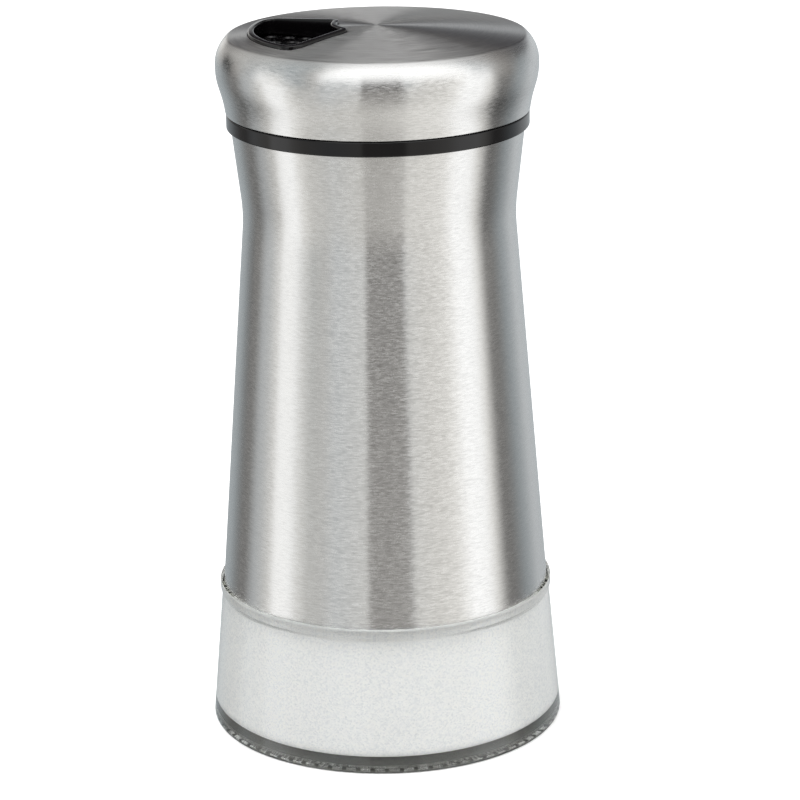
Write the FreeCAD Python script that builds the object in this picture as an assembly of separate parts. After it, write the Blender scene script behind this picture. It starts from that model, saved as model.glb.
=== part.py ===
import FreeCAD, Part
import math
import os

V = FreeCAD.Vector
AXIS = V(0, 0, 1)
ORIGIN = V(0, 0, 0)

# Driving sizes, in millimetres and degrees. Heights rise from the table, radii run out from the axis.

# Glass jar, below the sleeve
ledge_height = 26.3
ledge_width = 0.7
ledge_bead = 1.8
groove_drop = 2.3
groove_depth = 0.48
taper_drop = 3.3
taper_inset = 0.22
foot_flare = 1.82
heel_rounding = 0.9
bearing_width = 5.8
push_up = 3.0
push_up_flat = 10.0
push_up_rounding = 60.0
floor_thickness = 2.6
floor_edge = 1.6
floor_wall = 3.2
floor_rounding = 1.6
knurl_count = 72
knurl_radius = 0.5
knurl_depth = 0.3
knurl_length = 4.2

# Glass jar, inside the sleeve and the cap
neck_radius = 20.6
neck_wall = 2.7
body_wall = 2.8
shoulder_width = 2.44
shoulder_drop = 4.0
shoulder_height = 3.1
shoulder_rounding = 3.5
lip_rounding = 1.1

# Screw thread between jar and collar
thread_pitch = 4.0
thread_depth = 1.1
thread_base = 2.0
thread_crest = 0.9
thread_sunk = 0.3
thread_clearance = 0.35
thread_flank_gap = 0.15
thread_start = 2.1
thread_below_lip = 1.0
jar_thread_turns = 1.5
collar_thread_turns = 1.25

# Salt
salt_headspace = 6.2
salt_gap = 0.1

# Steel sleeve
sleeve_height = 83.2
sleeve_waist_drop = 15.3
sleeve_taper = 5.34
sleeve_bend = 30.0
sleeve_thickness = 0.5
sleeve_glass_gap = 0.4

# Rings between sleeve and glass
ring_gap = 0.05
bond_height = 6.0
bond_start = 1.5
top_ring_height = 7.6
top_ring_drop = 0.3
top_ring_reach = 0.85
top_ring_lift = 0.2

# Screw collar and mouth gasket
seat_gap = 0.05
band_height = 2.6
band_inset = 0.08
band_overhang = 0.8
band_rounding = 0.25
collar_wall = 2.1
ceiling_thickness = 1.2
gasket_thickness = 1.3
rim_recess_wall = 1.1
rim_bead = 0.8
rim_bead_height = 0.65

# Pour disc
disc_thickness = 1.65
disc_flange_thickness = 0.9
disc_side_gap = 0.15
disc_boss_wall = 2.34
disc_boss_drop = 1.2
lug_count = 4
lug_width = 3.0
lug_reach = 0.6
lug_gap = 0.1
group_spacing = 90.0
hole_inner_margin = 1.9
hole_outer_margin = 1.2
hole_chamfer = 0.25
medium_hole = 2.0
medium_row = 3.2
medium_column = 14.5
medium_columns = 5
fine_hole = 1.1
fine_row = 2.4
fine_column = 9.5
fine_columns = 7
slot_margin = 1.05
slot_half_span = 30.0
slot_rounding = 2.5

# Steel cap shell
cap_gap = 0.15
cap_steel = 0.5
cap_assembly_gap = 0.18
cap_hem_gap = 1.05
cap_flare = 0.36
cap_flare_height = 2.25
cap_flare_rounding = 22.0
cap_belly = 1.58
cap_belly_height = 6.3
cap_belly_rounding = 11.0
cap_shoulder_drop = 3.65
cap_shoulder_rounding = 6.2
cap_crease_inset = 2.16
cap_crease_rounding = 1.0
top_dome_radius = 190.0
top_flat = 2.0

# Window in the shell, and the liner's lip in it
window_direction = 190.5
window_span = 79.5
window_inner_radius = 6.7
window_margin = 0.6
window_inner_rounding = 2.2
window_outer_rounding = 2.9
lip_gap = 0.12
lip_width = 1.1
lip_height = 0.58
lip_edge_rounding = 0.22

# Selector liner, with its hub and detent nubs
liner_gap = 0.12
liner_plate = 2.23
liner_bottom_gap = 0.15
running_gap = 0.25
skirt_gap = 0.3
skirt_wall = 1.45
hub_radius = 3.0
hub_clearance = 0.06
hub_proud = 0.45
nub_count = 4
nub_radius = 0.45
nub_tip_radius = 0.25
nub_reach = 0.5
track_depth = 0.3
track_width = 1.0
dimple_gap = 0.15
dimple_depth = 0.25

# Pivot screw and washer
screw_shank_radius = 1.45
screw_pilot_gap = 0.04
screw_length = 4.6
screw_tip_room = 0.4
screw_head_radius = 2.8
screw_head_height = 1.9
screw_head_rounding = 0.9
screw_recess_width = 0.7
screw_recess_span = 3.2
screw_recess_depth = 1.1
washer_bore = 1.6
washer_flat_margin = 0.2
washer_boss_margin = 0.5
washer_thickness = 0.4
washer_rise = 0.4

# How far a cutting tool runs past the face that it opens
overcut = 1.0

# Heights that follow from the stack of pieces
sleeve_top = ledge_height + sleeve_height
waist_height = sleeve_top - sleeve_waist_drop
salt_level = waist_height - salt_headspace
thread_height = sleeve_top + thread_start
lip_top = thread_height + thread_pitch * jar_thread_turns + thread_base / 2 + thread_below_lip
band_bottom = sleeve_top + seat_gap
band_top = band_bottom + band_height
ceiling_height = lip_top + seat_gap + gasket_thickness + seat_gap
disc_seat = ceiling_height + ceiling_thickness
disc_bottom = disc_seat + seat_gap
disc_top = disc_bottom + disc_thickness
boss_bottom = disc_bottom - disc_boss_drop
hub_end = boss_bottom - hub_proud
washer_bottom = hub_end - seat_gap - washer_thickness
liner_underside = disc_top + running_gap
liner_bottom = band_top + cap_gap + cap_steel + liner_bottom_gap
cap_bottom = band_top + cap_gap
cap_top = liner_underside + liner_plate + liner_gap + cap_steel

# Radii that follow from the fits, from the neck outwards
mouth_radius = neck_radius - neck_wall
body_radius = neck_radius + shoulder_width
sleeve_waist_radius = body_radius + sleeve_glass_gap + sleeve_thickness
sleeve_foot_radius = sleeve_waist_radius + sleeve_taper
ledge_radius = sleeve_foot_radius + ledge_width
foot_radius = ledge_radius + foot_flare
thread_root_radius = neck_radius + thread_depth + thread_clearance
collar_radius = thread_root_radius + collar_wall
recess_radius = collar_radius - rim_recess_wall
bead_radius = recess_radius - rim_bead
track_radius = (collar_radius + bead_radius) / 2
disc_radius = recess_radius - disc_side_gap
land_radius = bead_radius - disc_side_gap
disc_boss_radius = hub_radius + hub_clearance + disc_boss_wall
skirt_inner_radius = collar_radius + skirt_gap
liner_radius = skirt_inner_radius + skirt_wall
cap_hem_radius = collar_radius + cap_hem_gap
cap_edge_radius = liner_radius + cap_assembly_gap + cap_steel
cap_flare_radius = cap_edge_radius + cap_flare
cap_belly_radius = cap_edge_radius + cap_belly
cap_crease_radius = cap_belly_radius - cap_crease_inset
band_radius = cap_edge_radius - band_inset
sleeve_top_radius = band_radius - band_overhang
window_outer_radius = recess_radius - window_margin
opening_inner_radius = window_inner_radius + lip_gap + lip_width
opening_outer_radius = window_outer_radius - lip_gap - lip_width


def unit(vector):
    """A copy of the vector, one millimetre long."""
    return vector * (1.0 / vector.Length)


def arc(start, middle, end):
    return Part.Arc(start, middle, end).toShape()


def line(start, end):
    return Part.LineSegment(start, end).toShape()


def rounded_wire(corners):
    """Closed outline in the XZ plane. A corner is (radius out, height) or (radius out, height, rounding).

    A rounding is an arc tangent to both sides. Two that need more than their side are made smaller in step."""
    points = [V(corner[0], 0, corner[1]) for corner in corners]
    rounding = [corner[2] if len(corner) > 2 else 0.0 for corner in corners]
    count = len(points)
    slopes = []
    for i in range(count):
        to_last = points[i - 1] - points[i]
        to_next = points[(i + 1) % count] - points[i]
        slopes.append(math.tan(to_last.getAngle(to_next) / 2))
    fit = [1.0] * count
    for i in range(count):
        following = (i + 1) % count
        needed = rounding[i] / slopes[i] + rounding[following] / slopes[following]
        side = (points[following] - points[i]).Length
        if needed > side:
            fit[i] = min(fit[i], side / needed)
            fit[following] = min(fit[following], side / needed)
    cuts = []
    for i in range(count):
        point = points[i]
        if rounding[i] == 0.0:
            cuts.append((point, None, point))
            continue
        to_last = unit(points[i - 1] - point)
        to_next = unit(points[(i + 1) % count] - point)
        radius = rounding[i] * fit[i]
        reach = radius / slopes[i]
        middle = point + unit(to_last + to_next) * (math.hypot(radius, reach) - radius)
        cuts.append((point + to_last * reach, middle, point + to_next * reach))
    edges = []
    for i in range(count):
        start, middle, end = cuts[i]
        if middle is not None:
            edges.append(arc(start, middle, end))
        following = cuts[(i + 1) % count][0]
        if (following - end).Length > 1e-6:
            edges.append(line(end, following))
    return Part.Wire(edges)


def turned(corners):
    """Solid of revolution about the axis from a rounded outline."""
    return Part.Face(rounded_wire(corners)).revolve(ORIGIN, AXIS, 360)


def ring(inner, outer, bottom, top):
    """Plain ring, or a disc where the inner radius is zero."""
    body = Part.makeCylinder(outer, top - bottom, V(0, 0, bottom))
    if inner == 0:
        return body
    return body.cut(Part.makeCylinder(inner, top - bottom, V(0, 0, bottom)))


def around(shape, count, first_angle=0.0):
    """Compound of copies of a shape, evenly spaced about the axis."""
    copies = []
    for i in range(count):
        copy = shape.copy()
        copy.rotate(ORIGIN, AXIS, first_angle + 360.0 * i / count)
        copies.append(copy)
    return Part.makeCompound(copies)


def helical_ridge(root_radius, outward, start_height, start_turn, turns):
    """Trapezoid thread ridge on a right-hand helix. outward is 1 on a neck and -1 in a bore."""
    sunk = root_radius - outward * thread_sunk
    crest = root_radius + outward * thread_depth
    slope = (thread_base - thread_crest) / 2 / thread_depth
    half_sunk = thread_base / 2 + thread_sunk * slope
    profile = Part.makePolygon([
        V(sunk, 0, -half_sunk),
        V(crest, 0, -thread_crest / 2),
        V(crest, 0, thread_crest / 2),
        V(sunk, 0, half_sunk),
        V(sunk, 0, -half_sunk),
    ])
    helix = Part.makeHelix(thread_pitch, thread_pitch * turns, root_radius)
    ridge = Part.Wire(helix.Edges).makePipeShell([profile], True, True)
    ridge.rotate(ORIGIN, AXIS, 360.0 * start_turn)
    ridge.translate(V(0, 0, start_height + thread_pitch * start_turn))
    return ridge


def sector(inner, outer, half_span, inner_rounding, outer_rounding, inset, bottom, top):
    """Upright prism on a ring sector about the +X direction, its outline moved in by inset."""
    inner_arc = inner + inset
    outer_arc = outer - inset
    small = max(inner_rounding - inset, 0.3 * inner_rounding)
    large = max(outer_rounding - inset, 0.3 * outer_rounding)
    angle = math.radians(half_span)
    corners = []
    for side in (1, -1):
        along = V(math.cos(angle), side * math.sin(angle), 0)
        inward = V(math.sin(angle), -side * math.cos(angle), 0)
        for radius, rounding, outwards in ((outer_arc, large, 1), (inner_arc, small, -1)):
            reach = radius - outwards * rounding
            offset = inset + rounding
            centre = along * math.sqrt(reach**2 - offset**2) + inward * offset
            away = unit(centre) * outwards
            middle = centre + unit(away - inward) * rounding
            corners.append((unit(centre) * radius, middle, centre - inward * rounding))
    outer_left, inner_left, outer_right, inner_right = corners
    edges = [
        arc(outer_right[0], V(outer_arc, 0, 0), outer_left[0]),
        arc(*outer_left),
        line(outer_left[2], inner_left[2]),
        arc(*reversed(inner_left)),
        arc(inner_left[0], V(inner_arc, 0, 0), inner_right[0]),
        arc(*inner_right),
        line(inner_right[2], outer_right[2]),
        arc(*reversed(outer_right)),
    ]
    prism = Part.Face(Part.Wire(edges)).extrude(V(0, 0, top - bottom))
    prism.translate(V(0, 0, bottom))
    return prism


def at_angle(shape, angle):
    """Copy of a shape turned about the axis."""
    copy = shape.copy()
    copy.rotate(ORIGIN, AXIS, angle)
    return copy


def sleeve_line(inset):
    """Corners of the sleeve's outside, bottom to top, moved in by inset."""
    return [
        (sleeve_foot_radius - inset, ledge_height),
        (sleeve_waist_radius - inset, waist_height, sleeve_bend),
        (sleeve_top_radius - inset, sleeve_top),
    ]


def sleeve_radius(height, inset):
    """Radius at a height on the sleeve's straight runs, below or above the waist."""
    foot, waist, top = sleeve_line(inset)
    low, high = (foot, waist) if height < waist_height else (waist, top)
    share = (height - low[1]) / (high[1] - low[1])
    return low[0] + share * (high[0] - low[0])


def glass_body_radius(height):
    """Outside of the glass inside the sleeve: parallel to it up to the waist, then straight up."""
    return sleeve_radius(min(height, waist_height), sleeve_thickness + sleeve_glass_gap)


def shoulder_start():
    """Height at which the glass starts to draw in to its neck."""
    return sleeve_top - shoulder_drop


def inner_wall(gap):
    """Corners of the jar's inside from the raised centre of its floor up to the shoulder, moved in by gap."""
    floor_height = push_up + floor_thickness
    return [
        (0, floor_height + gap),
        (push_up_flat, floor_height + gap, push_up_rounding + gap),
        (foot_radius - floor_wall - gap, floor_edge + gap, floor_rounding - gap),
        (glass_body_radius(ledge_height) - body_wall - gap, ledge_height, 20.0),
        (body_radius - body_wall - gap, waist_height, sleeve_bend),
    ]


def glass_jar():
    """Clear glass jar with a knurled bearing ring, a ledge for the sleeve and a threaded neck."""
    bearing_radius = foot_radius - bearing_width
    shoulder_top = shoulder_start() + shoulder_height
    bead_bottom = ledge_height - ledge_bead
    outside = [
        (0, push_up),
        (push_up_flat, push_up, push_up_rounding),
        (bearing_radius, 0, 0.8),
        (foot_radius, 0, heel_rounding),
        (ledge_radius - taper_inset, ledge_height - taper_drop, 2.0),
        (ledge_radius - groove_depth, ledge_height - groove_drop, 0.6),
        (ledge_radius, bead_bottom + 0.3, 0.5),
        (ledge_radius, ledge_height, 0.6),
        (glass_body_radius(ledge_height), ledge_height, 0.3),
        (body_radius, waist_height, sleeve_bend),
        (body_radius, shoulder_start(), shoulder_rounding),
        (neck_radius, shoulder_top, 1.5),
        (neck_radius, lip_top, lip_rounding),
        (mouth_radius, lip_top, lip_rounding),
    ]
    inside = [
        (mouth_radius, shoulder_top - 1.0, 2.5),
        (body_radius - body_wall, shoulder_start() - 1.5, 3.0),
    ]
    jar = turned(outside + inside + inner_wall(0)[::-1])
    ridge = helical_ridge(neck_radius, 1, thread_height, 0, jar_thread_turns)
    groove_place = V(foot_radius - knurl_length, 0, knurl_depth - knurl_radius)
    groove = Part.makeCylinder(knurl_radius, knurl_length + overcut, groove_place, V(1, 0, 0))
    return jar.fuse(ridge).cut(around(groove, knurl_count))


def salt_fill():
    """Loose salt as one settled mass that fills the jar to its level."""
    wall = inner_wall(salt_gap)
    ledge_side, waist_side = wall[-2:]
    share = (salt_level - ledge_side[1]) / (waist_side[1] - ledge_side[1])
    level_radius = ledge_side[0] + share * (waist_side[0] - ledge_side[0])
    return turned(wall[:-1] + [(level_radius, salt_level, 0.6), (0, salt_level)])


def steel_sleeve():
    """Drawn steel sleeve that stands on the ledge of the glass."""
    outside = sleeve_line(0)
    inside = sleeve_line(sleeve_thickness)
    return turned(outside + inside[::-1])


def sleeve_bond_ring():
    """Adhesive ring between the sleeve's foot and the glass."""
    bottom = ledge_height + bond_start
    top = bottom + bond_height
    return turned([
        (glass_body_radius(bottom) + ring_gap, bottom),
        (sleeve_radius(bottom, sleeve_thickness + ring_gap), bottom),
        (sleeve_radius(top, sleeve_thickness + ring_gap), top),
        (glass_body_radius(top) + ring_gap, top),
    ])


def sleeve_top_ring():
    """Plastic ring that centres the sleeve's flared top on the glass shoulder."""
    top = sleeve_top - top_ring_drop
    bottom = top - top_ring_height
    slope = shoulder_height / shoulder_width
    bore = body_radius + 2 * ring_gap
    seat = body_radius - top_ring_reach
    underside = shoulder_start() + top_ring_lift
    return turned([
        (bore, bottom, 0.2),
        (sleeve_radius(bottom, sleeve_thickness + 2 * ring_gap), bottom, 0.2),
        (sleeve_radius(top, sleeve_thickness + 2 * ring_gap), top, 0.3),
        (seat, top, 0.3),
        (seat, underside + top_ring_reach * slope),
        (bore, underside),
    ])


def mouth_gasket():
    """Soft ring between the glass lip and the collar's ceiling."""
    return turned([
        (mouth_radius, lip_top + seat_gap, 0.3),
        (thread_root_radius - thread_clearance, lip_top + seat_gap, 0.3),
        (thread_root_radius - thread_clearance, ceiling_height - seat_gap, 0.3),
        (mouth_radius, ceiling_height - seat_gap, 0.3),
    ])


def screw_collar():
    """Threaded collar: the black band, the drum inside the steel cap and the seat of the pour disc."""
    collar = turned([
        (thread_root_radius, band_bottom, 0.6),
        (band_radius, band_bottom, band_rounding),
        (band_radius, band_top, band_rounding),
        (collar_radius, band_top, 0.4),
        (collar_radius, disc_top, 0.25),
        (bead_radius, disc_top, 0.15),
        (bead_radius, disc_top - rim_bead_height, 0.15),
        (recess_radius, disc_top - rim_bead_height - 0.1),
        (recess_radius, disc_seat),
        (mouth_radius, disc_seat, 0.3),
        (mouth_radius, ceiling_height, 0.3),
        (thread_root_radius, ceiling_height),
    ])
    flank_shift = (thread_base + thread_crest) / 2
    flank_shift -= (thread_base - thread_crest) / 2 * thread_clearance / thread_depth
    flank_shift += thread_flank_gap
    first_turn = jar_thread_turns - collar_thread_turns
    start = thread_height - flank_shift
    ridge = helical_ridge(thread_root_radius, -1, start, first_turn, collar_thread_turns)
    track = ring(
        track_radius - track_width / 2,
        track_radius + track_width / 2,
        disc_top - track_depth,
        disc_top + overcut,
    )
    dimple_floor = V(track_radius, 0, disc_top - track_depth - dimple_depth)
    dimple = Part.makeCylinder(nub_tip_radius + dimple_gap, dimple_depth + track_depth, dimple_floor)
    notch = Part.makeBox(
        overcut + disc_side_gap + lug_reach + lug_gap,
        lug_width + 2 * lug_gap,
        disc_top - disc_seat,
        V(disc_radius - overcut, -lug_width / 2 - lug_gap, disc_seat),
    )
    collar = collar.fuse(ridge).cut(track)
    collar = collar.cut(around(dimple, nub_count, window_direction))
    return collar.cut(around(notch, lug_count, window_direction + 45))


def hole_group(diameter, row, column, columns):
    """Cutters for a group of holes about the +X direction, every other column half a row further out."""
    cutters = []
    lower = disc_bottom - overcut
    first_radius = opening_inner_radius + hole_inner_margin
    last_radius = opening_outer_radius - hole_outer_margin
    for i in range(columns):
        angle = (i - (columns - 1) / 2) * column
        radius = first_radius + (row / 2 if i % 2 else 0)
        while radius <= last_radius:
            place = V(radius, 0, lower)
            drill = Part.makeCylinder(diameter / 2, disc_top - lower + overcut, place)
            wide = diameter / 2 + hole_chamfer
            cone_place = V(radius, 0, disc_top - hole_chamfer)
            cone = Part.makeCone(diameter / 2, wide + hole_chamfer, 2 * hole_chamfer, cone_place)
            cutters.append(at_angle(drill.fuse(cone), angle))
            radius += row
    return Part.makeCompound(cutters)


def pour_disc():
    """Fixed disc with four stations: medium holes, pouring slot, closed and fine holes."""
    bore = hub_radius + hub_clearance
    disc = turned([
        (bore, boss_bottom),
        (disc_boss_radius, boss_bottom, 0.3),
        (disc_boss_radius, disc_bottom, 0.4),
        (disc_radius, disc_bottom, 0.2),
        (disc_radius, disc_bottom + disc_flange_thickness, 0.1),
        (land_radius, disc_bottom + disc_flange_thickness, 0.1),
        (land_radius, disc_top, 0.2),
        (bore, disc_top, 0.2),
    ])
    lug = Part.makeBox(
        overcut + disc_side_gap + lug_reach,
        lug_width,
        disc_flange_thickness,
        V(disc_radius - overcut, -lug_width / 2, disc_bottom),
    )
    disc = disc.fuse(around(lug, lug_count, window_direction + 45))
    medium = hole_group(medium_hole, medium_row, medium_column, medium_columns)
    fine = hole_group(fine_hole, fine_row, fine_column, fine_columns)
    slot = sector(
        opening_inner_radius + slot_margin,
        opening_outer_radius - slot_margin,
        slot_half_span,
        slot_rounding,
        slot_rounding,
        0,
        disc_bottom - overcut,
        disc_top + overcut,
    )
    disc = disc.cut(at_angle(medium, window_direction))
    disc = disc.cut(at_angle(slot, window_direction + group_spacing))
    return disc.cut(at_angle(fine, window_direction - group_spacing))


def dome_corners(height):
    """Corners of the cap's domed top from its flat centre at a height out to the crease."""
    slope = math.asin((cap_crease_radius - cap_crease_rounding - top_flat) / top_dome_radius)
    bend = top_flat + top_dome_radius * math.tan(slope / 2)
    crease_height = height - (cap_crease_radius - bend) * math.tan(slope)
    return [
        (0, height),
        (bend, height, top_dome_radius),
        (cap_crease_radius, crease_height, cap_crease_rounding),
    ]


def moved_in(corners, inset, bottom):
    """Corners of an open outline, top to bottom, with every side moved in and the end cut at a height."""
    points = [V(corner[0], 0, corner[1]) for corner in corners]
    sides = [unit(after - before) for before, after in zip(points, points[1:])]
    normals = [V(side.z, 0, -side.x) for side in sides]
    moved = [(points[0].x, points[0].z - inset)]
    for i in range(1, len(points) - 1):
        before, after = normals[i - 1], normals[i]
        point = points[i] + (before + after) * (inset / (1 + before.dot(after)))
        hollow = before.cross(after).y < 0
        moved.append((point.x, point.z, corners[i][2] + (inset if hollow else -inset)))
    end = points[-1] + normals[-1] * inset
    run = (bottom - end.z) / sides[-1].z
    moved.append((end.x + run * sides[-1].x, bottom))
    return moved


def cap_body(inset, bottom):
    """The cap's outer form as a solid, every side moved in by inset and cut off at a height."""
    outline = dome_corners(cap_top) + [
        (cap_belly_radius, cap_top - cap_shoulder_drop, cap_shoulder_rounding),
        (cap_belly_radius, cap_bottom + cap_belly_height, cap_belly_rounding),
        (cap_flare_radius, cap_bottom + cap_flare_height, cap_flare_rounding),
        (cap_edge_radius, cap_bottom),
    ]
    return turned(moved_in(outline, inset, bottom) + [(0, bottom)])


def window_prism(inset, bottom, top):
    """Prism on the window's outline, moved in by inset."""
    prism = sector(
        window_inner_radius,
        window_outer_radius,
        window_span / 2,
        window_inner_rounding,
        window_outer_rounding,
        inset,
        bottom,
        top,
    )
    return at_angle(prism, window_direction)


def cap_shell():
    """Deep-drawn steel shell with a hem turned in at its lower edge and a window in its top."""
    shell = cap_body(0, cap_bottom)
    shell = shell.cut(cap_body(cap_steel, cap_bottom + cap_steel))
    shell = shell.cut(ring(0, cap_hem_radius, cap_bottom - overcut, cap_bottom + 2 * cap_steel))
    return shell.cut(window_prism(0, liner_underside, cap_top + overcut))


def selector_liner():
    """Liner of the shell, with the lip that frames the window, the pivot hub and the detent nubs."""
    blank = turned([
        (0, liner_underside),
        (skirt_inner_radius, liner_underside, 0.3),
        (skirt_inner_radius, liner_bottom, 0.3),
        (liner_radius, liner_bottom, 0.3),
        (liner_radius, cap_top),
        (0, cap_top),
    ])
    liner = blank.common(cap_body(cap_steel + liner_gap, liner_bottom))
    frame = window_prism(lip_gap, liner_underside, cap_top + lip_height + overcut)
    frame = frame.common(turned(dome_corners(cap_top + lip_height) + [
        (cap_crease_radius, liner_underside),
        (0, liner_underside),
    ]))
    frame = frame.makeFillet(lip_edge_rounding, lip_top_edges(frame))
    opening = window_prism(
        lip_gap + lip_width,
        liner_underside - overcut,
        cap_top + lip_height + overcut,
    )
    liner = liner.fuse(frame).cut(opening)
    hub = ring(0, hub_radius, hub_end, liner_underside + liner_plate / 2)
    nub_tip = V(track_radius, 0, liner_underside - nub_reach)
    nub = Part.makeCone(nub_tip_radius, nub_radius, nub_reach, nub_tip)
    pilot_radius = screw_shank_radius + screw_pilot_gap
    pilot_top = hub_end + screw_length + screw_tip_room
    pilot = ring(0, pilot_radius, hub_end - overcut, pilot_top)
    liner = liner.fuse(hub).fuse(around(nub, nub_count, window_direction))
    return liner.cut(pilot)


def lip_top_edges(frame):
    """Edges round the highest face of the lip's blank."""
    top_face = max(frame.Faces, key=lambda face: face.CenterOfMass.z)
    return top_face.Edges


def pivot_screw():
    """Pan-head screw, driven from below into the hub."""
    head_top = washer_bottom - seat_gap
    head_bottom = head_top - screw_head_height
    shank_top = hub_end + screw_length
    screw = turned([
        (0, head_bottom),
        (screw_head_radius, head_bottom, screw_head_rounding),
        (screw_head_radius, head_top),
        (screw_shank_radius, head_top),
        (screw_shank_radius, shank_top, 0.4),
        (0, shank_top),
    ])
    blade = Part.makeBox(
        screw_recess_span,
        screw_recess_width,
        screw_recess_depth + overcut,
        V(-screw_recess_span / 2, -screw_recess_width / 2, head_bottom - overcut),
    )
    return screw.cut(blade).cut(at_angle(blade, 90))


def pivot_washer():
    """Conical spring washer: it rests on the screw head and bears on the disc's boss with its rim."""
    flat_radius = hub_radius + washer_flat_margin
    rim_radius = disc_boss_radius - washer_boss_margin
    top = washer_bottom + washer_thickness
    return turned([
        (washer_bore, washer_bottom),
        (flat_radius, washer_bottom),
        (rim_radius, washer_bottom + washer_rise),
        (rim_radius, top + washer_rise),
        (flat_radius, top),
        (washer_bore, top),
    ])


def main():
    nodes = [
        glass_jar,
        salt_fill,
        steel_sleeve,
        sleeve_bond_ring,
        sleeve_top_ring,
        mouth_gasket,
        screw_collar,
        pour_disc,
        cap_shell,
        selector_liner,
        pivot_screw,
        pivot_washer,
    ]
    os.makedirs("parts", exist_ok=True)
    for make in nodes:
        shape = make()
        shape.exportStep("parts/" + make.__name__ + ".step")
        box = shape.BoundBox
        print(
            f"{make.__name__:18s} solids {len(shape.Solids)} valid {shape.isValid()}"
            f" volume {shape.Volume:9.1f} z {box.ZMin:7.2f} to {box.ZMax:7.2f} r {box.XMax:6.2f}"
        )


main()
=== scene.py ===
import math
import bmesh
import bpy
from mathutils import Matrix, Vector


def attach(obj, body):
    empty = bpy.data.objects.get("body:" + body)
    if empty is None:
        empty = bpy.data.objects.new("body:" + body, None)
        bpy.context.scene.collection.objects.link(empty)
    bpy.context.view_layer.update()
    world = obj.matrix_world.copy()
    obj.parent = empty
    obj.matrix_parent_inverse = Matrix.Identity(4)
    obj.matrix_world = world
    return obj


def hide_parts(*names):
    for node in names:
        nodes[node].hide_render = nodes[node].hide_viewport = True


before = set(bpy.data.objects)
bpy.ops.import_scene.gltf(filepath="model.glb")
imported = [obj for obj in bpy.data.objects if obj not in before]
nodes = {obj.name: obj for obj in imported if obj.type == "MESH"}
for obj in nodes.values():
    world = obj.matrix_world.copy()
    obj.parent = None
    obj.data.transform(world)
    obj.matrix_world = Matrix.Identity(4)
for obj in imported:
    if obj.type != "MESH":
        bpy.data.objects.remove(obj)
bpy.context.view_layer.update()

MM = 0.001

# Sizes in millimetres, as the CAD solids have them. Radii run out from the axis, heights up from the table.
STEEL = 0.5
TOP = 127.0
DOME = 190.0
FLAT = 2.0
WINDOW_START = 150.75
WINDOW_SPAN = 79.5
WINDOW_INNER, WINDOW_OUTER = 6.7, 22.45
WINDOW_ROUNDING = (2.2, 2.9)
LIP_GAP, LIP_WIDTH, LIP_HEIGHT = 0.12, 1.1, 0.58
UNDERSIDE = 124.15
AROUND = 240


# Curves and turned forms

def arc_points(centre, radius, start, end, step=2.5):
    """Points on an arc in the profile's plane, from one direction to another in degrees."""
    count = max(2, math.ceil(abs(end - start) / step))
    angles = [math.radians(start + (end - start) * i / count) for i in range(count + 1)]
    return [(centre[0] + radius * math.cos(a), centre[1] + radius * math.sin(a)) for a in angles]


def profile(corners, longest=2.5):
    """Outline through (radius, height[, rounding]) corners, with rounded corners and evenly cut sides."""
    points = [Vector(c[:2]) for c in corners]
    soft = []
    for i, corner in enumerate(corners):
        if len(corner) < 3 or i in (0, len(corners) - 1):
            soft.append([points[i]])
            continue
        back, ahead = (points[i - 1] - points[i]), (points[i + 1] - points[i])
        turn = math.pi - back.angle(ahead)
        reach = corner[2] * math.tan(turn / 2)
        start, end = points[i] + back.normalized() * reach, points[i] + ahead.normalized() * reach
        middle = (back.normalized() + ahead.normalized()).normalized()
        centre = points[i] + middle * (corner[2] / math.cos(turn / 2))
        first = math.degrees(math.atan2(*(start - centre).yx))
        last = math.degrees(math.atan2(*(end - centre).yx))
        last += 360 * round((first - last) / 360)
        soft.append([Vector(p) for p in arc_points(centre, corner[2], first, last)])
    line = []
    for bend in soft:
        if line:
            gap = (bend[0] - line[-1]).length
            cuts = max(1, math.ceil(gap / longest))
            line += [line[-1].lerp(bend[0], k / cuts) for k in range(1, cuts)]
            if gap < 1e-6:
                bend = bend[1:]
        line += bend
    return line


def turned(points, closed, steps=AROUND, start=0.0):
    """A bmesh of the outline turned about the axis: an eighth is spun, then doubled three times."""
    bm = bmesh.new()
    chain = [bm.verts.new((p[0], 0, p[1])) for p in points]
    pairs = list(zip(chain, chain[1:])) + ([(chain[-1], chain[0])] if closed else [])
    edges = [bm.edges.new(pair) for pair in pairs]
    bmesh.ops.rotate(bm, verts=chain, cent=(0, 0, 0), matrix=Matrix.Rotation(math.radians(start), 3, "Z"))
    bmesh.ops.spin(bm, geom=chain + edges, cent=(0, 0, 0), axis=(0, 0, 1), angle=math.tau / 8,
                   steps=steps // 8, use_duplicate=False)
    for eighths in (1, 2, 4):
        copy = bmesh.ops.duplicate(bm, geom=bm.verts[:] + bm.edges[:] + bm.faces[:])
        verts = [v for v in copy["geom"] if isinstance(v, bmesh.types.BMVert)]
        turn = Matrix.Rotation(math.tau / 8 * eighths, 3, "Z")
        bmesh.ops.rotate(bm, verts=verts, cent=(0, 0, 0), matrix=turn)
    bmesh.ops.remove_doubles(bm, verts=bm.verts, dist=1e-4)
    bmesh.ops.recalc_face_normals(bm, faces=bm.faces)
    return bm


def polar(vert):
    """Radius in millimetres and direction in degrees, from 0 to 360."""
    return math.hypot(vert.co.x, vert.co.y), math.degrees(math.atan2(vert.co.y, vert.co.x)) % 360


def piece(name, bm, body, material, replaces=(), sharp=40):
    """Finishes a bmesh in millimetres as an object of the frame."""
    bmesh.ops.scale(bm, verts=bm.verts, vec=(MM, MM, MM))
    mesh = bpy.data.meshes.new(name)
    bm.to_mesh(mesh)
    bm.free()
    mesh.shade_smooth()
    mesh.set_sharp_from_angle(angle=math.radians(sharp))
    mesh.materials.append(material)
    obj = bpy.data.objects.new(name, mesh)
    bpy.context.scene.collection.objects.link(obj)
    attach(obj, body)
    if replaces:
        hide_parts(*replaces)
    return obj


# Materials

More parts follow.
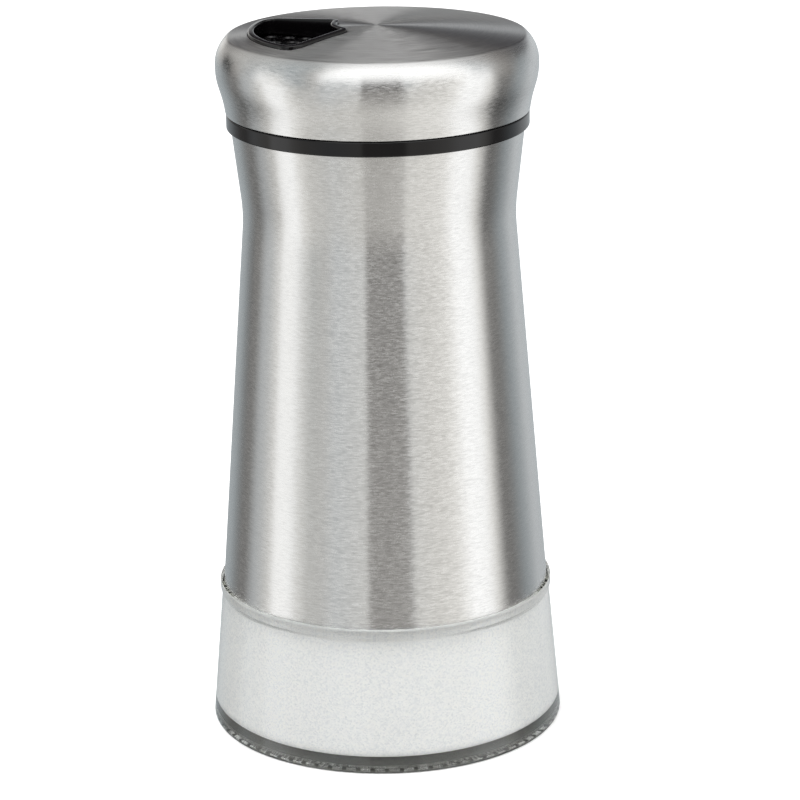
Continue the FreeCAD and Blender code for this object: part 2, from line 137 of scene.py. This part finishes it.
def colour(code):
    """Linear colour from an sRGB hex value."""
    parts = [int(code[i:i + 2], 16) / 255 for i in (1, 3, 5)]
    return tuple(c / 12.92 if c <= 0.04045 else ((c + 0.055) / 1.055) ** 2.4 for c in parts) + (1.0,)


def node(tree, kind, settings=None, **inputs):
    """Adds a node. Settings are its properties. Inputs are values or (node, output) links, by socket name."""
    made = tree.nodes.new(kind)
    for key, value in (settings or {}).items():
        setattr(made, key, value)
    for key, value in inputs.items():
        socket = made.inputs[int(key[1:])] if key[0] == "_" else made.inputs[key.replace("_", " ")]
        if isinstance(value, tuple) and isinstance(value[0], bpy.types.Node):
            tree.links.new(value[0].outputs[value[1]], socket)
        else:
            socket.default_value = value
    return made


def finish(name):
    """An empty node tree for a material, with its output."""
    material = bpy.data.materials.new(name)
    material.use_nodes = True
    material.node_tree.nodes.clear()
    return material, material.node_tree, node(material.node_tree, "ShaderNodeOutputMaterial")


def ramp(tree, factor, stops, interpolation="LINEAR"):
    """A colour ramp through (position, hex colour) stops."""
    made = node(tree, "ShaderNodeValToRGB", _0=factor)
    made.color_ramp.interpolation = interpolation
    while len(made.color_ramp.elements) < len(stops):
        made.color_ramp.elements.new(0.5)
    for element, (position, code) in zip(made.color_ramp.elements, stops):
        element.position = position
        element.color = colour(code)
    return made


def brushed_stainless():
    """304 stainless, brushed round the axis. The fine scratches run level on the walls and in circles on the
    spun top, so each highlight is drawn out across them: upright bands on the walls, a fan on the top."""
    material, tree, out = finish("stainless_304_brushed")
    place = node(tree, "ShaderNodeTexCoord")
    spot = node(tree, "ShaderNodeSeparateXYZ", Vector=(place, "Object"))
    flat = node(tree, "ShaderNodeCombineXYZ", X=(spot, "X"), Y=(spot, "Y"))
    radius = node(tree, "ShaderNodeVectorMath", {"operation": "LENGTH"}, _0=(flat, 0))
    heading = node(tree, "ShaderNodeVectorMath", {"operation": "NORMALIZE"}, _0=(flat, 0))
    around = node(tree, "ShaderNodeSeparateXYZ", Vector=(heading, 0))
    # Scratches about 0.24 mm apart.
    across_r = node(tree, "ShaderNodeMath", {"operation": "MULTIPLY"}, _0=(radius, "Value"), _1=4200.0)
    across_z = node(tree, "ShaderNodeMath", {"operation": "MULTIPLY"}, _0=(spot, "Z"), _1=4200.0)
    # They are short on the walls and long on the spun top.
    length = node(tree, "ShaderNodeMapRange", Value=(spot, "Z"), From_Min=0.1245, From_Max=0.1255,
                  To_Min=22.0, To_Max=5.0)
    along_x = node(tree, "ShaderNodeMath", {"operation": "MULTIPLY"}, _0=(around, "X"), _1=(length, 0))
    along_y = node(tree, "ShaderNodeMath", {"operation": "MULTIPLY"}, _0=(around, "Y"), _1=(length, 0))
    grain = node(tree, "ShaderNodeCombineXYZ", X=(across_r, 0), Y=(across_z, 0), Z=(along_x, 0))
    scratch = node(tree, "ShaderNodeTexNoise", {"noise_dimensions": "4D"}, Vector=(grain, 0),
                   W=(along_y, 0), Scale=1.0, Detail=2.0, Roughness=0.55)
    tone = ramp(tree, (scratch, 0), [(0.3, "#bdbdbc"), (0.7, "#d6d6d5")])
    rough = node(tree, "ShaderNodeMapRange", Value=(scratch, 0), From_Min=0.3, From_Max=0.7,
                 To_Min=0.19, To_Max=0.29)
    spun = node(tree, "ShaderNodeMapRange", Value=(spot, "Z"), From_Min=0.1245, From_Max=0.1255, To_Max=0.1)
    satin = node(tree, "ShaderNodeMath", {"operation": "ADD"}, _0=(rough, 0), _1=(spun, 0))
    bump = node(tree, "ShaderNodeBump", Strength=0.12, Distance=0.00001, Height=(scratch, 0))
    minus_y = node(tree, "ShaderNodeMath", {"operation": "MULTIPLY"}, _0=(spot, "Y"), _1=-1.0)
    ring_way = node(tree, "ShaderNodeCombineXYZ", X=(minus_y, 0), Y=(spot, "X"))
    tangent = node(tree, "ShaderNodeVectorTransform",
                   {"vector_type": "VECTOR", "convert_from": "OBJECT", "convert_to": "WORLD"},
                   Vector=(ring_way, 0))
    shader = node(tree, "ShaderNodeBsdfPrincipled", Metallic=1.0, Anisotropic=1.0, Anisotropic_Rotation=0.25,
                  Base_Color=(tone, 0), Roughness=(satin, 0), Normal=(bump, 0), Tangent=(tangent, 0))
    tree.links.new(shader.outputs[0], out.inputs[0])
    return material


def moulded_black():
    """Black ABS, moulded in a polished tool: deep black, glossy, with a slight moulding ripple."""
    material, tree, out = finish("abs_black_moulded")
    place = node(tree, "ShaderNodeTexCoord")
    ripple = node(tree, "ShaderNodeTexNoise", Vector=(place, "Object"), Scale=420.0, Detail=2.0)
    rough = node(tree, "ShaderNodeMapRange", Value=(ripple, 0), To_Min=0.07, To_Max=0.15)
    bump = node(tree, "ShaderNodeBump", Strength=0.04, Distance=0.00005, Height=(ripple, 0))
    shader = node(tree, "ShaderNodeBsdfPrincipled", Base_Color=colour("#060506"), Specular_IOR_Level=0.35,
                  Roughness=(rough, 0), Normal=(bump, 0))
    tree.links.new(shader.outputs[0], out.inputs[0])
    return material


def pressed_glass():
    """Clear soda-lime glass, pressed in a mould: bright, a little grey-green where it is thick."""
    material, tree, out = finish("soda_lime_glass_pressed")
    place = node(tree, "ShaderNodeTexCoord")
    wave = node(tree, "ShaderNodeTexNoise", Vector=(place, "Object"), Scale=90.0, Detail=1.0)
    bump = node(tree, "ShaderNodeBump", Strength=0.05, Distance=0.0001, Height=(wave, 0))
    shader = node(tree, "ShaderNodeBsdfPrincipled", Base_Color=colour("#ffffff"), IOR=1.52,
                  Roughness=0.0, Transmission_Weight=1.0, Normal=(bump, 0))
    depth = node(tree, "ShaderNodeVolumeAbsorption", Color=colour("#a8b088"), Density=16.0)
    tree.links.new(shader.outputs[0], out.inputs[0])
    tree.links.new(depth.outputs[0], out.inputs[1])
    return material


def table_salt():
    """Fine table salt: white cubes of about 0.3 mm, each with its own brightness, and a few that sparkle."""
    material, tree, out = finish("table_salt_grains")
    place = node(tree, "ShaderNodeTexCoord")
    grains = node(tree, "ShaderNodeTexVoronoi", Vector=(place, "Object"), Scale=3800.0)
    shade = node(tree, "ShaderNodeSeparateColor", Color=(grains, "Color"))
    tone = ramp(tree, (shade, 0), [(0.0, "#eaecf0"), (0.5, "#f8f9fb"), (1.0, "#ffffff")])
    rough = node(tree, "ShaderNodeMapRange", Value=(shade, 1), To_Min=0.25, To_Max=0.8)
    bump = node(tree, "ShaderNodeBump", Strength=0.35, Distance=0.0001, Height=(grains, "Distance"))
    shader = node(tree, "ShaderNodeBsdfPrincipled", Base_Color=(tone, 0), Roughness=(rough, 0),
                  IOR=1.54, Subsurface_Weight=0.3, Subsurface_Radius=(1.0, 1.0, 1.0), Subsurface_Scale=0.003,
                  Normal=(bump, 0))
    tree.links.new(shader.outputs[0], out.inputs[0])
    return material


def plain_part(name, code, rough, metal=0.0):
    """A quiet finish for a piece that shows only when the cap is off, with a slight moulding or rolling grain."""
    material, tree, out = finish(name)
    place = node(tree, "ShaderNodeTexCoord")
    grain = node(tree, "ShaderNodeTexNoise", Vector=(place, "Object"), Scale=900.0, Detail=2.0)
    spread = node(tree, "ShaderNodeMapRange", Value=(grain, 0), To_Min=rough - 0.08, To_Max=rough + 0.08)
    bump = node(tree, "ShaderNodeBump", Strength=0.1, Distance=0.00005, Height=(grain, 0))
    shader = node(tree, "ShaderNodeBsdfPrincipled", Base_Color=colour(code), Metallic=metal,
                  Roughness=(spread, 0), Normal=(bump, 0))
    tree.links.new(shader.outputs[0], out.inputs[0])
    return material


steel = brushed_stainless()
black = moulded_black()
glass = pressed_glass()
salt = table_salt()
adhesive = plain_part("cured_adhesive", "#cfcfc8", 0.45)
seal_rubber = plain_part("silicone_seal", "#b9b9b2", 0.55)
zinc_screw = plain_part("stainless_screw", "#c4c4c2", 0.3, 1.0)


# Glass jar

def sleeve_line(inset):
    """The sleeve's outside from foot to top, moved in."""
    return [(29.28 - inset, 26.3), (23.94 - inset, 94.2, 30.0), (25.7 - inset, 109.5)]


def jar_wall(gap):
    """The jar's inside from the centre of the floor to the shoulder."""
    return [(0, 5.6 + gap), (10.0, 5.6 + gap, 60.0 + gap), (28.6 - gap, 1.6 + gap, 1.6 - gap),
            (25.58 - gap, 26.3), (20.24 - gap, 94.2, 30.0)]


def glass_jar():
    outside = [
        (0, 3.0), (10.0, 3.0, 60.0), (26.0, 0, 0.8), (27.5, 0), (31.8, 0, 0.9), (29.76, 23.0, 2.0),
        (29.5, 24.0, 0.6), (29.98, 24.8, 0.4), (29.98, 26.3, 0.25), (28.38, 26.3, 0.3), (23.04, 94.2, 30.0),
        (23.04, 105.5, 3.5), (20.6, 108.6, 1.5),
    ]
    threaded = [(20.6, 109.6 + 0.22 * k) for k in range(43)]
    mouth = [(20.6, 119.6, 1.1), (17.9, 119.6, 1.1), (17.9, 107.6, 2.5), (20.24, 104.0, 3.0)]
    bm = turned(profile(outside + threaded + mouth + jar_wall(0)[::-1], 4.0), closed=False, steps=288)
    for vert in bm.verts:
        radius, direction = polar(vert)
        z = vert.co.z
        # Short radial grooves under the foot, one every five degrees.
        if z < 0.3 and 27.6 < radius < 31.2 and abs((direction + 2.5) % 5 - 2.5) < 0.3:
            vert.co.z = 0.3
        # Screw thread on the neck, as a ridge raised on its wall.
        if 20.55 < radius < 20.65 and 109.5 < z < 119:
            turn = direction / 360
            height = min((abs(z - 111.6 - 4 * (turn + k)) for k in range(2) if turn + k <= 1.5), default=9)
            rise = max(0.0, min(1.0, (1.05 - height) / 0.6))
            vert.co.x *= 1 + 1.1 * rise / radius
            vert.co.y *= 1 + 1.1 * rise / radius
    return bm


piece("jar", glass_jar(), "jar", glass, ["glass_jar"])


def salt_body():
    wall = jar_wall(-0.05)
    level = 88.0
    share = (level - 26.3) / (94.2 - 26.3)
    edge = wall[-2][0] + share * (wall[-1][0] - wall[-2][0])
    return turned(profile(wall[:-1] + [(edge, level, 0.6), (0, level)]), closed=False)


piece("salt", salt_body(), "jar", salt, ["salt_fill"])


# Steel sleeve

def sleeve():
    bm = turned(profile(sleeve_line(0)), closed=False)
    bmesh.ops.solidify(bm, geom=bm.faces, thickness=STEEL)
    return bm


piece("sleeve", sleeve(), "jar", steel, ["steel_sleeve"])


# Screw collar, whose lower rim is the black band

def collar():
    bore = [(22.05, 121.0), (22.05, 109.55, 0.6)]
    outside = [
        (26.5, 109.55, 0.25), (26.5, 112.15, 0.25), (24.15, 112.15, 0.4), (24.15, 123.9, 0.25),
        (23.7, 123.9), (23.7, 123.6), (22.7, 123.6), (22.7, 123.9), (22.25, 123.9, 0.15), (22.25, 123.25, 0.15),
        (23.05, 123.15), (23.05, 122.2), (17.9, 122.2, 0.3), (17.9, 121.0, 0.3),
    ]
    bm = turned(profile(bore + outside, 0.5), closed=True)
    for vert in bm.verts:
        radius, direction = polar(vert)
        if 22.0 < radius < 22.1 and 109.7 < vert.co.z < 117.5:
            turn = direction / 360
            centres = [110.175 + 4 * (turn + k) for k in range(3) if 0.25 <= turn + k <= 1.5]
            height = min((abs(vert.co.z - c) for c in centres), default=9)
            rise = max(0.0, min(1.0, (1.0 - height) / 0.55))
            vert.co.x *= 1 - 1.1 * rise / radius
            vert.co.y *= 1 - 1.1 * rise / radius
    return bm


piece("collar", collar(), "cap", black, ["screw_collar"])


# Steel top and its liner, both open at the window

def dome(radius, drop=0.0):
    """Height of the domed top at a radius."""
    return TOP - drop - max(0.0, radius - FLAT) ** 2 / (2 * DOME)


def steps_round(spot):
    """Steps of the turning from the window's first side, from half a turn back to half a turn on."""
    angle = math.degrees(math.atan2(spot.y, spot.x)) - WINDOW_START
    return ((angle + 180) % 360 - 180) * AROUND / 360


def open_window(bm, inner, outer, first, last, roundings):
    """Removes the faces inside a ring sector and rounds its corners. Angles are counted in steps of the turning."""
    step = 360 / AROUND
    gone = []
    for face in bm.faces:
        middle = face.calc_center_median()
        radius = math.hypot(middle.x, middle.y)
        turn = steps_round(middle)
        if inner < radius < outer and first < turn < last and middle.z > UNDERSIDE - 0.5:
            gone.append(face)
    bmesh.ops.delete(bm, geom=gone, context="FACES")
    for side, at in ((1, first), (-1, last)):
        angle = math.radians(WINDOW_START + at * step)
        along = Vector((math.cos(angle), math.sin(angle)))
        inward = Vector((-math.sin(angle), math.cos(angle))) * side
        for reach, rounding, outwards in ((inner, roundings[0], -1), (outer, roundings[1], 1)):
            rho = reach - outwards * rounding
            centre = along * math.sqrt(rho ** 2 - rounding ** 2) + inward * rounding
            on_side = (centre - inward * rounding).length
            on_arc = math.degrees(centre.angle(along)) / step
            for vert in bm.verts:
                spot = vert.co.xy
                if vert.co.z < UNDERSIDE - 0.5 or not vert.is_boundary:
                    continue
                turn = steps_round(spot)
                by_side = abs(turn - at) < 0.2 and (spot.length - on_side) * outwards > 0
                by_arc = abs(spot.length - reach) < 0.05 and (turn - at) * side < on_arc
                if first - 0.2 < turn < last + 0.2 and inner - 0.1 < spot.length < outer + 0.1 and (by_side or by_arc):
                    vert.co.xy = centre + (spot - centre).normalized() * rounding


def top_radii(inner, outer):
    """Radii of the top's rings: fine near the window's ends."""
    inside = [inner * k / 6 for k in range(7)]
    return inside + [inner + (outer - inner) * k / 30 for k in range(1, 31)] + [outer + 0.8, outer + 1.6, 25.0]


def cap_shell():
    top = [(r, dome(r)) for r in top_radii(WINDOW_INNER, WINDOW_OUTER)]
    side = profile([
        (25.0, dome(25.0)), (26.0, dome(25.0) - 0.12, 0.9), (28.16, 123.35, 6.2), (28.16, 118.6, 11.0),
        (26.94, 114.55, 22.0), (26.58, 112.3, 0.2), (25.2, 112.3),
    ], 1.2)
    bm = turned(top[:-1] + [tuple(p) for p in side], closed=False, start=WINDOW_START)
    open_window(bm, WINDOW_INNER, WINDOW_OUTER, 0, round(WINDOW_SPAN * AROUND / 360), WINDOW_ROUNDING)
    bmesh.ops.solidify(bm, geom=bm.faces, thickness=STEEL)
    return bm


piece("cap_top", cap_shell(), "selector", steel, ["cap_shell"])


def window_outline(inset, count=10):
    """Points round the window's rounded outline, moved in, in the order outer arc, side, inner arc, side."""
    half = math.radians(WINDOW_SPAN / 2)
    middle = math.radians(WINDOW_START) + half
    inner, outer = WINDOW_INNER + inset, WINDOW_OUTER - inset
    corners = []
    for side in (1, -1):
        along = Vector((math.cos(half), side * math.sin(half)))
        inward = Vector((math.sin(half), -side * math.cos(half)))
        for reach, rounding, outwards in ((outer, WINDOW_ROUNDING[1] - inset, 1), (inner, WINDOW_ROUNDING[0] - inset, -1)):
            rho = reach - outwards * rounding
            offset = inset + rounding
            centre = along * math.sqrt(rho ** 2 - offset ** 2) + inward * offset
            start = centre.normalized() * outwards
            bend = start.angle_signed(-inward)
            corners.append([centre + Matrix.Rotation(-bend * k / count, 2) @ start * rounding for k in range(count + 1)])
    outer_left, inner_left, outer_right, inner_right = corners
    loop = outer_left + inner_left[::-1]
    for end, start, cuts in ((inner_left[0], inner_right[0], 16), (outer_right[0], outer_left[0], 60)):
        first, turn = end.copy(), end.angle_signed(start)
        run = [Matrix.Rotation(-turn * k / cuts, 2) @ first for k in range(1, cuts)]
        loop += run
        if end is inner_left[0]:
            loop += inner_right + outer_right[::-1]
    spin = Matrix.Rotation(middle, 2)
    return [spin @ p for p in loop]


def liner():
    """Black liner: its plate and skirt line the steel, its lip frames the window and its hub is the pivot."""
    inner, outer = WINDOW_INNER + 0.6, WINDOW_OUTER - 0.6
    drop = STEEL + 0.12
    top = [(r, dome(r, drop)) for r in top_radii(inner, outer)]
    side = profile([
        (25.0, dome(25.0, drop)), (25.3, dome(25.0, drop) - 0.05), (25.9, 124.6, 0.3), (25.9, 112.95, 0.3),
        (24.45, 112.95, 0.3),
        (24.45, 124.15, 0.3), (23.8, 124.15),
    ], 1.5)
    under = [(r, UNDERSIDE) for r in reversed(top_radii(inner, outer)[:-1]) if r > 3.4]
    hub = [(3.0, 124.15), (3.0, 120.6), (1.49, 120.6), (1.49, 125.6), (0, 125.6)]
    bm = turned(top[:-1] + [tuple(p) for p in side] + under + hub, closed=False, start=WINDOW_START)
    open_window(bm, inner, outer, 1, round(WINDOW_SPAN * AROUND / 360) - 1, (1.9, 2.4))
    rims = [e for e in bm.edges if e.is_boundary]
    bmesh.ops.bridge_loops(bm, edges=rims)
    lip = bmesh.new()
    outline = window_outline(LIP_GAP)
    rim = lip.faces.new([lip.verts.new((p.x, p.y, 0)) for p in outline])
    rim.normal_update()
    bmesh.ops.inset_region(lip, faces=[rim], thickness=LIP_WIDTH, use_even_offset=True, use_boundary=True)
    bmesh.ops.delete(lip, geom=[rim], context="FACES_ONLY")
    raised = bmesh.ops.extrude_face_region(lip, geom=lip.faces[:])
    top_verts = [v for v in raised["geom"] if isinstance(v, bmesh.types.BMVert)]
    edge_top = set(top_verts)
    for vert in lip.verts:
        vert.co.z = dome(vert.co.xy.length) + LIP_HEIGHT if vert in edge_top else UNDERSIDE
    bmesh.ops.recalc_face_normals(lip, faces=lip.faces)
    ring = [e for e in lip.edges if all(v in edge_top for v in e.verts) and any(abs(f.normal.z) < 0.3 for f in e.link_faces)]
    bmesh.ops.bevel(lip, geom=ring, offset=0.26, offset_type="OFFSET", segments=4, profile=0.5,
                    affect="EDGES", material=-1)
    lip_mesh = bpy.data.meshes.new("lip")
    lip.to_mesh(lip_mesh)
    lip.free()
    bm.from_mesh(lip_mesh)
    for k in range(4):
        nub = Matrix.Rotation(math.radians(190.5 + 90 * k), 4, "Z") @ Matrix.Translation((23.2, 0, 123.9))
        bmesh.ops.create_cone(bm, cap_ends=True, segments=16, radius1=0.25, radius2=0.45, depth=0.5, matrix=nub)
    return bm


piece("liner", liner(), "selector", black, ["selector_liner"])


# Pieces that keep their solids

for name, material in (
    ("pour_disc", black), ("sleeve_top_ring", black), ("sleeve_bond_ring", adhesive),
    ("mouth_gasket", seal_rubber), ("pivot_screw", zinc_screw), ("pivot_washer", zinc_screw),
):
    slots = nodes[name].data.materials
    slots.clear()
    slots.append(material)


# Studio, with the tones of its tent from the lit strips to the dark gaps

STRIP = "#ffffff"
BRIGHT = "#dfddd9"
CLOTH = "#c4c2be"
COOL_LIGHT = "#b6b9bb"
SHADE = "#a3a19e"
COOL = "#92989b"
DULL = "#8a8784"
GREY = "#727170"
DARK = "#3f3f40"
BLACK = "#161514"

def studio_world():
    """White room for the camera. Steel and glass mirror a tent: two bright strips, the gap between its front
    cloths, a soft box overhead in front, and the dark end of the room behind."""
    world = bpy.data.worlds.new("studio")
    world.use_nodes = True
    world.cycles.sampling_method = "NONE"
    bpy.context.scene.world = world
    tree = world.node_tree
    tree.nodes.clear()
    ray = node(tree, "ShaderNodeLightPath")
    way = node(tree, "ShaderNodeTexCoord")
    part = node(tree, "ShaderNodeSeparateXYZ", Vector=(way, "Generated"))
    front = node(tree, "ShaderNodeMath", {"operation": "MULTIPLY"}, _0=(part, "Y"), _1=-1.0)
    turn = node(tree, "ShaderNodeMath", {"operation": "ARCTAN2"}, _0=(part, "X"), _1=(front, 0))
    # Once round the object, from straight behind it, by its left and its front, to behind it again.
    share = node(tree, "ShaderNodeMapRange", Value=(turn, 0), From_Min=-math.pi, From_Max=math.pi)
    low = ramp(tree, (share, 0), [
        (0.0, GREY), (0.067, COOL), (0.135, BLACK), (0.155, BLACK), (0.195, GREY),
        (0.236, CLOTH), (0.255, STRIP), (0.285, STRIP), (0.303, BRIGHT), (0.333, CLOTH),
        (0.5, CLOTH), (0.597, BRIGHT), (0.653, BRIGHT), (0.69, STRIP), (0.725, STRIP),
        (0.747, BRIGHT), (0.78, DARK), (0.83, BLACK), (0.889, DARK), (1.0, GREY),
    ])
    level = ramp(tree, (share, 0), [
        (0.0, COOL), (0.095, COOL), (0.145, GREY), (0.17, GREY), (0.2, COOL_LIGHT),
        (0.245, CLOTH), (0.26, STRIP), (0.297, STRIP), (0.317, BRIGHT), (0.34, CLOTH),
        (0.4, COOL_LIGHT), (0.464, CLOTH), (0.468, DULL), (0.556, DULL), (0.56, CLOTH),
        (0.6, CLOTH), (0.647, BRIGHT), (0.678, STRIP), (0.72, STRIP), (0.74, BRIGHT),
        (0.77, GREY), (0.79, GREY), (0.83, COOL), (0.886, COOL_LIGHT), (1.0, COOL),
    ])
    eye = ramp(tree, (share, 0), [
        (0.0, COOL_LIGHT), (0.042, BRIGHT), (0.1, DULL), (0.114, BLACK), (0.144, BLACK),
        (0.158, DULL), (0.18, SHADE), (0.222, COOL_LIGHT), (0.245, STRIP), (0.289, BRIGHT),
        (0.317, COOL_LIGHT), (0.344, COOL), (0.372, SHADE), (0.4, COOL_LIGHT), (0.466, COOL_LIGHT),
        (0.47, BLACK), (0.548, BLACK), (0.552, COOL_LIGHT), (0.6, CLOTH), (0.64, CLOTH),
        (0.667, BRIGHT), (0.69, STRIP), (0.735, STRIP), (0.758, SHADE), (0.797, DULL),
        (0.842, COOL), (0.9, COOL_LIGHT), (1.0, COOL_LIGHT),
    ])
    high = ramp(tree, (share, 0), [
        (0.0, GREY), (0.12, SHADE), (0.3, COOL), (0.355, SHADE), (0.38, STRIP),
        (0.69, STRIP), (0.73, COOL_LIGHT), (0.8, DULL), (1.0, GREY),
    ])
    down = node(tree, "ShaderNodeMapRange", Value=(part, "Z"), From_Min=-0.3, From_Max=-0.55)
    sides = node(tree, "ShaderNodeMix", {"data_type": "RGBA"}, _0=(down, 0), _6=(level, 0), _7=(low, 0))
    rising = node(tree, "ShaderNodeMapRange", Value=(part, "Z"), From_Min=-0.14, From_Max=0.04)
    tent = node(tree, "ShaderNodeMix", {"data_type": "RGBA"}, _0=(rising, 0), _6=(sides, 2), _7=(eye, 0))
    left = node(tree, "ShaderNodeMapRange", Value=(part, "X"), From_Min=-0.25, From_Max=-0.75, To_Max=1.5)
    ahead = node(tree, "ShaderNodeMath", {"operation": "ADD"}, _0=(front, 0), _1=(left, 0))
    facing = node(tree, "ShaderNodeMapRange", Value=(ahead, 0), From_Min=-0.8, From_Max=-0.15)
    above = node(tree, "ShaderNodeMix", {"data_type": "RGBA"}, _0=(facing, 0), _6=colour("#2b292c"), _7=(high, 0))
    lean = node(tree, "ShaderNodeMath", {"operation": "MULTIPLY_ADD"}, _0=(front, 0), _1=-0.15, _2=(part, "Z"))
    up = node(tree, "ShaderNodeMapRange", Value=(lean, 0), From_Min=0.27, From_Max=0.36)
    cloth = node(tree, "ShaderNodeBackground", Color=(tent, 2), Strength=1.65)
    box = node(tree, "ShaderNodeBackground", Color=(above, 2), Strength=2.1)
    mirrored = node(tree, "ShaderNodeMixShader", Fac=(up, 0), _1=(cloth, 0), _2=(box, 0))
    white = node(tree, "ShaderNodeBackground", Color=colour("#ffffff"), Strength=1.0)
    mixed = node(tree, "ShaderNodeMixShader", Fac=(ray, "Is Glossy Ray"), _1=(white, 0), _2=(mirrored, 0))
    node(tree, "ShaderNodeOutputWorld", Surface=(mixed, 0))


def floor():
    """Pale seamless table. It keeps the shadow and looks white to the camera."""
    bm = bmesh.new()
    bmesh.ops.create_grid(bm, x_segments=1, y_segments=1, size=4.0)
    mesh = bpy.data.meshes.new("floor")
    bm.to_mesh(mesh)
    bm.free()
    material, tree, out = finish("white_paper")
    place = node(tree, "ShaderNodeTexCoord")
    fibre = node(tree, "ShaderNodeTexNoise", Vector=(place, "Object"), Scale=300.0)
    tone = ramp(tree, (fibre, 0), [(0.0, "#f4f4f4"), (1.0, "#fafafa")])
    matte = node(tree, "ShaderNodeBsdfDiffuse", Color=(tone, 0))
    # The lift to white fades out under the shaker, so that its foot stands in its own shadow.
    radius = node(tree, "ShaderNodeVectorMath", {"operation": "LENGTH"}, _0=(place, "Object"))
    lift = node(tree, "ShaderNodeMapRange", Value=(radius, "Value"), From_Min=0.03, From_Max=0.036, To_Max=0.28)
    glow = node(tree, "ShaderNodeEmission", Color=colour("#ffffff"), Strength=(lift, 0))
    ray = node(tree, "ShaderNodeLightPath")
    seen = node(tree, "ShaderNodeMath", {"operation": "MAXIMUM"}, _0=(ray, "Is Camera Ray"),
                _1=(ray, "Is Transmission Ray"))
    both = node(tree, "ShaderNodeAddShader", _0=(matte, 0), _1=(glow, 0))
    mixed = node(tree, "ShaderNodeMixShader", Fac=(seen, 0), _1=(matte, 0), _2=(both, 0))
    tree.links.new(mixed.outputs[0], out.inputs[0])
    mesh.materials.append(material)
    obj = bpy.data.objects.new("floor", mesh)
    bpy.context.scene.collection.objects.link(obj)
    obj.visible_glossy = False


def lamp(name, size, power, spot, aim=(0, 0, 0.07)):
    """A square soft box."""
    data = bpy.data.lights.new(name, "AREA")
    data.size = size
    data.energy = power
    obj = bpy.data.objects.new(name, data)
    obj.location = spot
    obj.rotation_euler = (Vector(aim) - Vector(spot)).to_track_quat("-Z", "Y").to_euler()
    obj.visible_glossy = False
    bpy.context.scene.collection.objects.link(obj)


def camera():
    """The photograph's view: from the front, 0.6 m away, looking down 17 degrees."""
    pitch, yaw, roll = math.radians(17.21), math.radians(0.3166), math.radians(-0.856)
    forward = Vector((math.sin(yaw) * math.cos(pitch), math.cos(yaw) * math.cos(pitch), -math.sin(pitch)))
    right = Vector((math.cos(yaw), -math.sin(yaw), 0))
    up = right.cross(forward)
    tilted_right = right * math.cos(roll) + up * math.sin(roll)
    tilted_up = up * math.cos(roll) - right * math.sin(roll)
    data = bpy.data.cameras.new("photo_view")
    data.sensor_width = 36.0
    data.lens = 3294 * 36 / 800
    data.clip_start = 0.01
    obj = bpy.data.objects.new("photo_view", data)
    turn = Matrix((tilted_right, tilted_up, -forward)).transposed().to_4x4()
    obj.matrix_world = Matrix.Translation((0, -0.5638, 0.2336)) @ turn
    bpy.context.scene.collection.objects.link(obj)
    bpy.context.scene.camera = obj


studio_world()
floor()
lamp("key", 0.6, 6.0, (-0.5, -0.5, 0.9))
lamp("fill", 0.6, 3.0, (0.7, -0.3, 0.6))
camera()
bpy.context.scene.view_settings.view_transform = "Standard"
